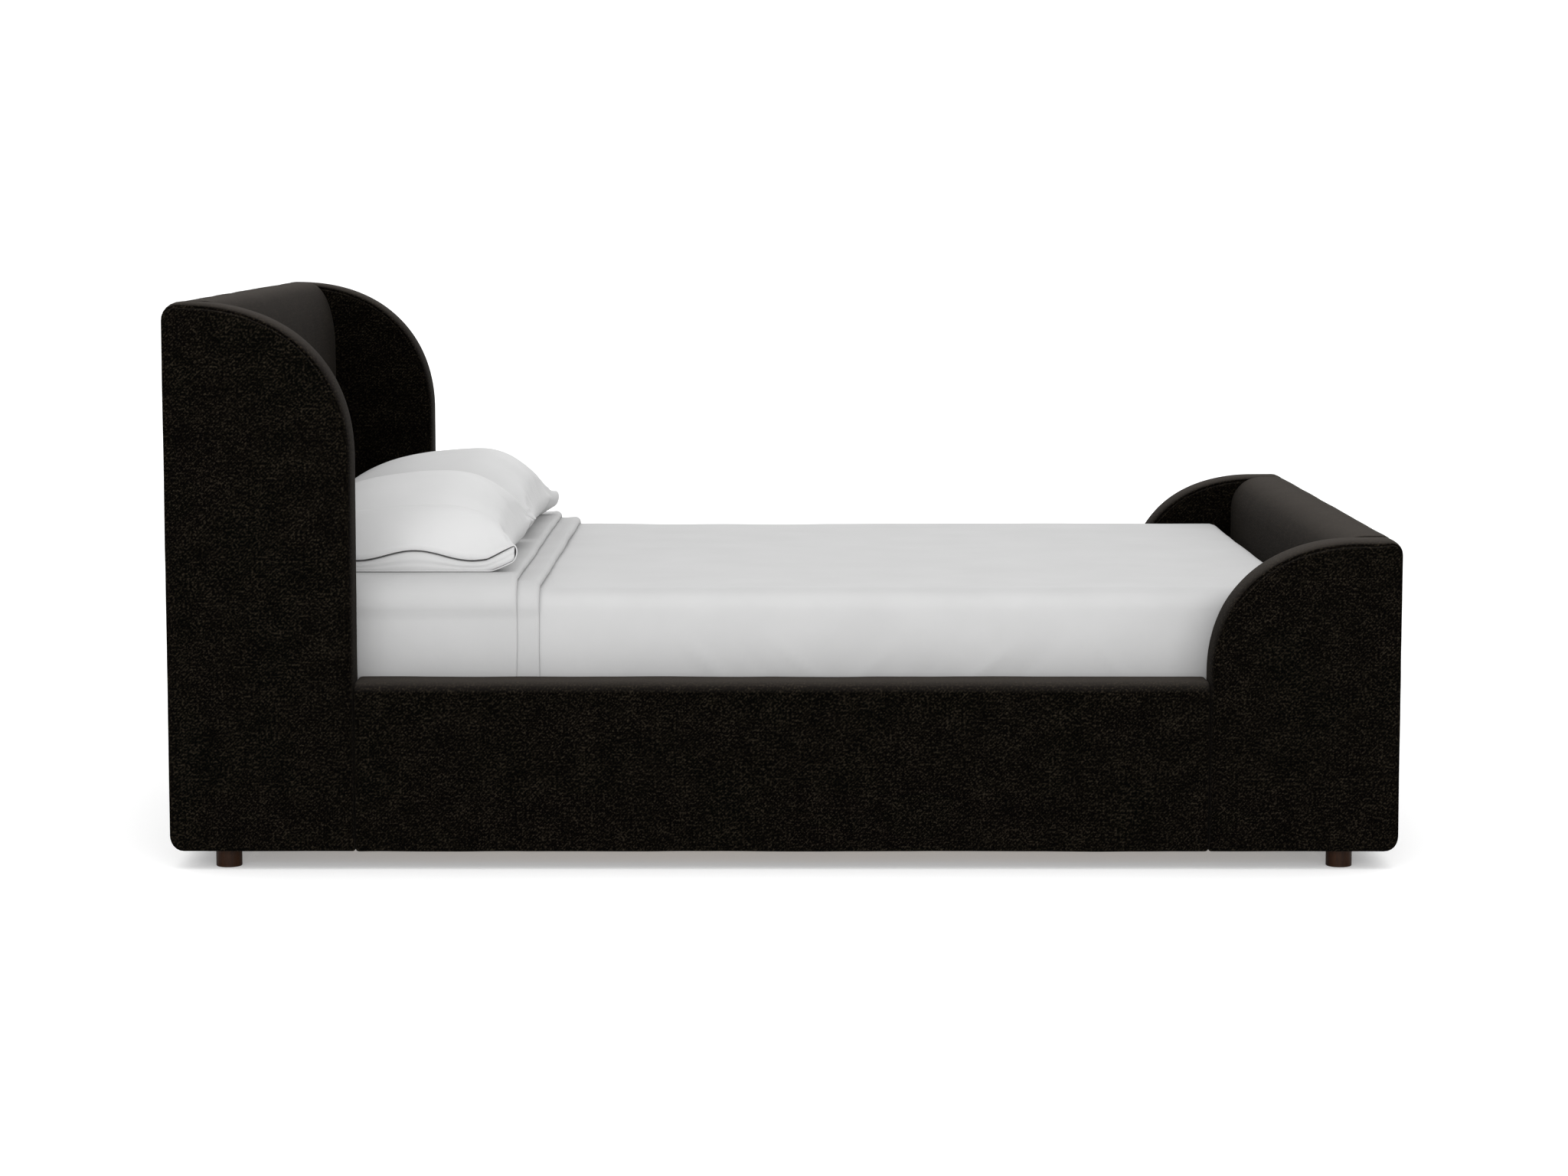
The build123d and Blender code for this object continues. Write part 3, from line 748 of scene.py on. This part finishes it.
def fold_layer(name, foot_x, top, side, seed):
    """A turned-back layer of bedding: a soft fold at its foot side, draped over both sides.

    top and side are the layer's lowest and highest offset from the mattress, there.
    """
    path = section_path()
    length, bend = foot_x - FOLD_HEAD_X, foot_x - FOLD_ROUND
    rows = [(FOLD_HEAD_X + (bend - FOLD_HEAD_X) * k / FOLD_ROWS, 1.0)
            for k in range(FOLD_ROWS + 1)]
    for k in range(1, FOLD_STEPS):
        angle = math.pi * k / FOLD_STEPS
        rows.append((bend + FOLD_ROUND * math.sin(angle), 0.5 + 0.5 * math.cos(angle)))
    rows += [(bend + (FOLD_HEAD_X - bend) * k / FOLD_ROWS, 0.0) for k in range(FOLD_ROWS + 1)]
    vertices = []
    for y, z, ny, nz in path:
        low = top[0] * abs(nz) + side[0] * abs(ny)
        high = top[1] * abs(nz) + side[1] * abs(ny)
        sway = 0.0035 * noise.noise(Vector((seed, 2.6 * y, 3.0 * z)))
        sway += 0.0012 * noise.noise(Vector((seed + 5, 14 * y, 14 * z)))
        for x, level in rows:
            offset = low + (high - low) * level
            if level > 0.5:
                offset += 0.0016 * math.exp(-((x - foot_x + 0.012) / 0.012) ** 2) * nz
            if level == 1.0:
                offset += 0.0010 * noise.noise(Vector((7 * x, 5 * y, 5 * z + seed)))
            share = (x - FOLD_HEAD_X) / length
            vertices.append((x + sway * share, y + ny * offset, z + nz * offset))
    count = len(rows)
    faces = ring_faces(len(path), count)
    faces.append(tuple(range(count)))
    faces.append(tuple(reversed(range((len(path) - 1) * count, len(path) * count))))
    obj = new_object(name, vertices, faces)
    make_consistent(obj)
    set_material(obj, sheet_cloth)
    attach(obj, "mattress", "white_sheet", "top_sheet")


def box_grid(low, high, step):
    """Grids over the top, both sides and the foot of a box, sharing their edge points."""
    table, vertices, faces = {}, [], []

    def index(point):
        key = tuple(round(c, 6) for c in point)
        if key not in table:
            table[key] = len(vertices)
            vertices.append(point)
        return table[key]

    def spread(start, end):
        count = max(1, round((end - start) / step))
        return [start + (end - start) * k / count for k in range(count + 1)]

    xs, ys, zs = (spread(low[i], high[i]) for i in range(3))
    for sheet in ([[(x, y, high[2]) for y in ys] for x in xs],
                  [[(x, low[1], z) for z in zs] for x in xs],
                  [[(x, high[1], z) for z in zs] for x in xs],
                  [[(high[0], y, z) for z in zs] for y in ys]):
        for i in range(len(sheet) - 1):
            for k in range(len(sheet[0]) - 1):
                faces.append((index(sheet[i][k]), index(sheet[i + 1][k]),
                              index(sheet[i + 1][k + 1]), index(sheet[i][k + 1])))
    return vertices, faces


def drag_lines(x, z):
    """Faint slanting drag wrinkles low on the sides, gathered towards the foot, in metres."""
    low_down = math.exp(-((z - DRAG_MIDDLE) / DRAG_SPREAD) ** 2)
    total = 0.0
    for centre, lean, width, depth in DRAGS:
        along = (x - centre) - lean * (DRAG_ORIGIN - z)
        total += depth * math.exp(-(along / width) ** 2) * low_down
    return total


def coverlet():
    """The main white cover, smooth over the mattress and tucked down inside the rails."""
    low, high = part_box("coverlet")
    foot = high[0] + 0.003
    vertices, faces = box_grid((low[0], low[1], DROP_LOW), (foot, high[1], high[2]), COVERLET_STEP)
    round_x, round_y, round_z = COVERLET_ROUND
    shaped = []
    for x, y, z in vertices:
        core = Vector((min(x, foot - round_x), max(low[1] + round_y, min(high[1] - round_y, y)),
                       min(z, high[2] - round_z)))
        reach = Vector((x, y, z)) - core
        scaled = Vector((reach.x / round_x, reach.y / round_y, reach.z / round_z)).normalized()
        place = core + Vector((scaled.x * round_x, scaled.y * round_y, scaled.z * round_z))
        normal = Vector((scaled.x / round_x, scaled.y / round_y, scaled.z / round_z)).normalized()
        shift = 0.0024 * noise.noise(place / 0.45)
        shift += 0.0012 * noise.noise(place / 0.13 + Vector((3, 1, 4)))
        if abs(normal.y) > 0.7:
            shift += drag_lines(place.x, place.z) - 0.001
            shift -= 0.0030 * max(0.0, (place.x - 0.80) / 0.22) ** 2
        shaped.append(place + normal * shift)
    obj = new_object("coverlet_cloth", shaped, faces)
    make_consistent_open(obj)
    thicken(obj, COVERLET_THICKNESS)
    set_material(obj, coverlet_cloth)
    attach(obj, "mattress", "white_coverlet", "coverlet")


def make_consistent_open(obj):
    """Points the faces of an open sheet outwards, judged by its highest face."""
    make_consistent(obj)
    if max(obj.data.polygons, key=lambda face: face.center.z).normal.z < 0:
        obj.data.flip_normals()


def thicken(obj, thickness):
    """Gives an open sheet its thickness, inwards."""
    modifier = obj.modifiers.new("thickness", "SOLIDIFY")
    modifier.thickness = thickness
    modifier.offset = -1.0
    apply_modifiers(obj)


def apply_modifiers(obj):
    """Bakes an object's modifiers into its mesh."""
    graph = bpy.context.evaluated_depsgraph_get()
    mesh = bpy.data.meshes.new_from_object(obj.evaluated_get(graph))
    obj.modifiers.clear()
    old = obj.data
    obj.data = mesh
    bpy.data.meshes.remove(old)
    obj.data.polygons.foreach_set("use_smooth", [True] * len(obj.data.polygons))


mattress()
coverlet()
fold_layer("coverlet_turnback", -0.480, (0.0105, 0.026), (0.0068, 0.0130), 11)
fold_layer("top_sheet_turnback", -0.526, (0.0240, 0.039), (0.0115, 0.0180), 23)


# ---------------------------------------- pillows

# Pillows, metres: the seam above the mattress, the fullest line in front of the middle, half a hem
PILLOW_REST = 0.0395
PILLOW_CROWN = 0.087
PILLOW_HEM = 0.0042
PILLOW_GRID = (56, 80)
# The swelling of a case as cloth, with the furthest that a point may move
SWELL_VOXEL = 0.0065
SWELL_FRAMES = 20
SWELL_REACH = 0.010
SWELL_CLOTH = {"quality": 5, "mass": 0.25, "tension_stiffness": 18, "compression_stiffness": 14,
               "shear_stiffness": 6, "bending_stiffness": 0.6, "use_pressure": True,
               "uniform_pressure_force": 4.0, "shrink_min": -0.015}
# A case's open end: its layers and flap, the tuck under the hem, the gap to what it lies on, and
# where it starts and ends, from the pillow's own end
CASE_THICKNESS = 0.0022
MOUTH_GRID = (90, 14)
FLAP_GRID = (80, 16)
MOUTH_TUCK = 0.0028
MOUTH_GAP = 0.0006
MOUTH_INWARD = 0.075
MOUTH_OUTWARD = 0.012
# The bedding's thickness under the pillows, and the insert's gap to its case
BEDDING_DEPTH = 0.039
INSERT_EASE = 0.006


def pillow_form(name, centre, half_x, half_y, floor, crown_z, shrink, seed):
    """A stuffed pillow lying flat: full towards its front edge, pinched at its four corners."""
    columns, rows = PILLOW_GRID
    seam_z, lead = floor + PILLOW_REST, PILLOW_CROWN / half_x
    vertices, index = [], {}
    for i in range(columns + 1):
        s = -math.cos(math.pi * i / columns)
        u = (s - lead) / (1 - lead) if s > lead else (s - lead) / (1 + lead)
        across = max(0.0, 1 - abs(u) ** 2.3) ** 0.80
        for k in range(rows + 1):
            t = -math.cos(math.pi * k / rows)
            corner = (s * s * t * t) ** 2
            x = centre[0] + (half_x - shrink) * s * (1 - 0.055 * (1 - t * t) - 0.010 * corner)
            y = centre[1] + (half_y - shrink) * t * (1 - 0.040 * (1 - s * s) - 0.010 * corner)
            along = max(0.0, 1 - abs(t) ** 2.8) ** 0.62
            pinch = min(1.0, max(0.0, (abs(s * t) - 0.62) / 0.34))
            full = across * along * (1 - ease(pinch))
            ear = 0.012 * corner * (1.0 if s > 0 else 0.3)
            seam = seam_z + ear + 0.004 * noise.noise(Vector((2.2 * s, 2.2 * t, seed)))
            lump = 0.006 * noise.noise(Vector((1.6 * s + seed, 1.9 * t, 0.3)))
            top = seam + PILLOW_HEM + (crown_z - shrink - seam - PILLOW_HEM + lump) * full
            sink = (1 - math.exp(-5 * full)) / (1 - math.exp(-5))
            bottom = seam - PILLOW_HEM - (seam - PILLOW_HEM - floor - shrink) * sink
            for layer, z in ((1, top), (0, bottom)):
                index[i, k, layer] = len(vertices)
                vertices.append((x, y, z))
    faces = []
    for i in range(columns):
        for k in range(rows):
            for layer in (0, 1):
                faces.append((index[i, k, layer], index[i + 1, k, layer],
                              index[i + 1, k + 1, layer], index[i, k + 1, layer]))
    for i in range(columns):
        for k in (0, rows):
            faces.append((index[i, k, 0], index[i + 1, k, 0], index[i + 1, k, 1], index[i, k, 1]))
    for k in range(rows):
        for i in (0, columns):
            faces.append((index[i, k, 0], index[i, k + 1, 0], index[i, k + 1, 1], index[i, k, 1]))
    obj = new_object(name, vertices, faces)
    make_consistent(obj)
    return obj


def inflate(obj, floor):
    """Swells a closed form as cloth under gentle pressure, and keeps its movement small."""
    remesh = obj.modifiers.new("remesh", "REMESH")
    remesh.mode = "VOXEL"
    remesh.voxel_size = SWELL_VOXEL
    apply_modifiers(obj)
    start = get_points(obj)
    cloth = obj.modifiers.new("cloth", "CLOTH")
    for setting, value in SWELL_CLOTH.items():
        setattr(cloth.settings, setting, value)
    cloth.settings.effector_weights.gravity = 0.0
    cloth.collision_settings.use_collision = False
    cloth.collision_settings.use_self_collision = False
    cloth.point_cache.frame_start = 1
    cloth.point_cache.frame_end = SWELL_FRAMES
    for frame_number in range(1, SWELL_FRAMES + 1):
        bpy.context.scene.frame_set(frame_number)
    apply_modifiers(obj)
    bpy.context.scene.frame_set(1)
    move = get_points(obj) - start
    share = np.minimum(1.0, SWELL_REACH / np.maximum(np.linalg.norm(move, axis=1), 1e-9))
    points = start + move * share[:, None]
    points[:, 2] = np.maximum(points[:, 2], floor)
    set_points(obj, points)
    obj.modifiers.new("smooth", "SUBSURF").levels = 1
    apply_modifiers(obj)
    points = get_points(obj)
    points[:, 2] = np.maximum(points[:, 2], floor)
    set_points(obj, points)


def mouth_height(x, front):
    """Height of the upper and lower lip of a pillowcase's open end, x metres along it."""
    back = front - x
    upper = 0.034 + 0.010 * math.cos(2 * math.pi * (back - 0.205) / 0.23)
    upper += 0.016 * max(0.0, 1 - back / 0.06)
    lower = 0.028 * max(0.0, 1 - back / 0.075) ** 1.5 - 0.0035
    return upper, lower


def edge_sag(y):
    """How far bedding drops below the mattress top, y metres from its middle."""
    radius = EDGE_ROUND + BEDDING_DEPTH
    beyond = max(0.0, abs(y) - (MATTRESS_SIDE - EDGE_ROUND))
    return radius - math.sqrt(radius ** 2 - beyond ** 2)


def case_mouth(name, body, centre, half_x, inner_y, outer_y, floor):
    """The open end of a pillowcase: its two layers run on past the pillow, over a tucked flap."""
    points = [v.co for v in body.data.vertices]
    tree = BVHTree.FromPolygons(points, [tuple(p.vertices) for p in body.data.polygons])
    beside = [p.x for p in points if abs(p.y - inner_y) < 0.006]
    body_back, body_front = min(beside) + 0.001, max(beside) - 0.001
    stations, rows = MOUTH_GRID
    front, back = centre[0] + half_x, centre[0] - half_x + 0.004
    vertices = []
    for r in range(rows + 1):
        share = r / rows
        y = inner_y + (outer_y - inner_y) * share
        blend, fall = ease(share), share ** 1.7
        tuck = MOUTH_TUCK * max(0.0, 1 - share / 0.25)
        loop_up, loop_down = [], []
        for k in range(stations + 1):
            place = 0.5 - 0.5 * math.cos(math.pi * k / stations)
            probe_x = body_back + (body_front - body_back) * place
            x = probe_x + (back + (front - back) * place - probe_x) * blend
            start_up = surface_z(tree, probe_x, inner_y, floor + 0.5, floor + 0.040)
            start_down = surface_z(tree, probe_x, inner_y, floor - 0.2, floor + 0.036)
            here_up = surface_z(tree, probe_x, y, floor + 0.5, floor)
            up_out, down_out = mouth_height(x, front)
            up = max(start_up + (floor + up_out - start_up) * fall,
                     here_up if share < 0.8 else 0.0) + MOUTH_GAP - tuck
            down = start_down + (floor + down_out - start_down) * blend - MOUTH_GAP + tuck
            down = max(floor + MOUTH_GAP - edge_sag(y), down)
            end_gap = min(1.0, (1 - place) / 0.02, place / 0.02)
            middle = (up + down) / 2
            width = math.sqrt(max(0.0, 1 - (1 - end_gap) ** 2))
            loop_up.append((x, y, middle + (up - middle) * width))
            loop_down.append((x, y, middle + (down - middle) * width))
        vertices += loop_up + loop_down[-2:0:-1]
    tube = new_object(name, vertices, ring_faces(rows + 1, 2 * stations))
    make_consistent_open(tube)
    thicken(tube, CASE_THICKNESS)
    return join(tube, [case_flap(f"{name}_flap", front, back, inner_y, outer_y, floor)])


def surface_z(tree, x, y, start_z, fallback):
    """Height at which an upright line from start_z meets a surface."""
    down = start_z > fallback
    hit = tree.ray_cast(Vector((x, y, start_z)), Vector((0, 0, -1 if down else 1)))[0]
    return hit.z if hit else fallback


def case_flap(name, front, back, inner_y, outer_y, floor):
    """The flap tucked inside a pillowcase's open end, showing as two soft rolls."""
    sign = 1 if outer_y > inner_y else -1
    stations, across = FLAP_GRID
    vertices = []
    for k in range(stations + 1):
        x = back + 0.010 + (front - back - 0.016) * k / stations
        upper, lower = mouth_height(x, front)
        for m in range(across + 1):
            share = m / across
            roll = math.sin(math.pi * share) ** 0.5 - 0.35 * math.exp(-((share - 0.45) / 0.10) ** 2)
            y = outer_y - sign * (0.0075 - 0.0055 * roll)
            vertices.append((x, y, floor + lower + 0.0015 + (upper - lower - 0.0045) * share))
    faces = []
    width = across + 1
    for k in range(stations):
        for m in range(across):
            faces.append((k * width + m, (k + 1) * width + m,
                          (k + 1) * width + m + 1, k * width + m + 1))
    flap = new_object(name, vertices, faces)
    make_consistent(flap)
    if flap.data.polygons[0].normal.y * sign < 0:
        flap.data.flip_normals()
    thicken(flap, CASE_THICKNESS)
    return flap


def pillow(side, seed):
    """A pillow in its case, with the case's open end outwards."""
    low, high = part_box(f"pillowcase_{side}")
    sign = -1 if side == "left" else 1
    centre = ((low[0] + high[0]) / 2, (low[1] + high[1]) / 2 - sign * 0.008)
    half_x, half_y = (high[0] - low[0]) / 2 + 0.004, (high[1] - low[1]) / 2 - 0.010
    floor = low[2]
    crown = high[2] - 0.010
    body = pillow_form(f"pillowcase_{side}_cloth", centre, half_x, half_y, floor, crown, 0.0, seed)
    inflate(body, floor)
    outer = centre[1] + sign * (half_y + MOUTH_OUTWARD)
    inner = centre[1] + sign * (half_y - MOUTH_INWARD)
    case = join(body, [case_mouth(f"mouth_{side}", body, centre, half_x, inner, outer, floor)])
    set_material(case, case_cloth)
    attach(case, f"pillow_{side}", "white_pillowcase", f"pillowcase_{side}")
    insert = pillow_form(f"pillow_insert_{side}_down", centre, half_x - 0.02, half_y - 0.02, floor,
                         crown - INSERT_EASE, INSERT_EASE, seed)
    set_material(insert, ticking_cloth)
    attach(insert, f"pillow_{side}", "pillow_ticking", f"pillow_insert_{side}")


pillow("left", 3.0)
pillow("right", 8.0)

for name, obj in nodes.items():
    if name.endswith(("_frame", "_core")) or name.startswith("centre_leg"):
        set_material(obj, timber_upright)
    elif name.startswith("slat_"):
        set_material(obj, timber_across)
    elif name.startswith("cleat") or name == "centre_beam":
        set_material(obj, timber_along)
    elif name.startswith(("leg_head", "leg_foot")):
        set_material(obj, walnut)
    elif name.endswith("_bolts"):
        set_material(obj, zinc)
    elif name in ("beam_brackets", "rail_joining_plates"):
        set_material(obj, black_steel)
    elif name.startswith("levelling"):
        set_material(obj, black_plastic)


# ---------------------------------------- floor, light and camera

FLOOR_SIZE = 30
# The camera's distance from the near side of the bed and its height, in metres
CAMERA_DISTANCE = 7.107
CAMERA_HEIGHT = 1.299


def add_floor():
    """A plain pale floor, wide enough to show no horizon, that glows a little to look white."""
    s = FLOOR_SIZE
    floor = new_object("floor", [(-s, -s, 0), (s, -s, 0), (s, s, 0), (-s, s, 0)], [(0, 1, 2, 3)],
                       smooth=False)
    mat, tree = material("pale_floor")
    clouds = noise_node(tree, coordinates(tree), 0.5)
    set_material(floor, finish(mat, {
        "Base Color": ramp(tree, clouds, [(0.0, (0.86, 0.86, 0.86)), (1.0, (0.88, 0.88, 0.88))]),
        "Emission Color": (1.0, 1.0, 1.0, 1.0), "Emission Strength": 0.26, "Roughness": 0.9,
        "Specular IOR Level": 0.1}))


def add_area_light(name, place, target, size, power):
    """A rectangular soft box pointed at a target, itself out of sight."""
    data = bpy.data.lights.new(name, "AREA")
    data.shape = "RECTANGLE"
    data.size, data.size_y = size
    data.energy = power
    obj = bpy.data.objects.new(name, data)
    obj.location = place
    direction = Vector(target) - Vector(place)
    obj.rotation_euler = direction.to_track_quat("-Z", "Y").to_euler()
    obj.visible_camera = False
    bpy.context.scene.collection.objects.link(obj)


def add_camera():
    """An 85 mm lens facing the middle of the bed's left side, tipped 6 degrees down."""
    data = bpy.data.cameras.new("camera")
    data.lens = 85.0
    data.sensor_width = 36.0
    data.clip_end = 100.0
    obj = bpy.data.objects.new("camera", data)
    obj.location = (0.0, cad_bounds[0][1] - CAMERA_DISTANCE, CAMERA_HEIGHT)
    obj.rotation_euler = (math.radians(84.0), 0.0, 0.0)
    bpy.context.scene.collection.objects.link(obj)
    bpy.context.scene.camera = obj


def add_world(backdrop, overhead, around, rear):
    """A white studio, brighter overhead and behind the bed, with a plain white backdrop."""
    world = bpy.data.worlds.new("studio")
    world.use_nodes = True
    tree = world.node_tree
    _, y, z = separate(tree, coordinates(tree, "Generated"))
    height = math_node(tree, "MAXIMUM", z, 0.0)
    sky = math_node(tree, "MULTIPLY_ADD", height, overhead - around, around)
    behind = math_node(tree, "POWER", math_node(tree, "MAXIMUM", y, 0.0), 4.0)
    lit = math_node(tree, "MULTIPLY_ADD", behind, rear, sky)
    path = tree.nodes.new("ShaderNodeLightPath")
    strength = mix_number(tree, path.outputs["Is Camera Ray"], lit, backdrop)
    wire(tree.nodes["Background"], {"Color": (1.0, 1.0, 1.0, 1.0), "Strength": strength})
    bpy.context.scene.world = world


add_floor()
add_world(backdrop=1.2, overhead=1.54, around=0.33, rear=1.6)
add_area_light("front_softbox", place=(0.0, -6.5, 1.5), target=(0.0, 0.0, 0.4), size=(9.0, 2.6),
               power=238.0)
add_camera()
bpy.context.scene.view_settings.view_transform = "Standard"
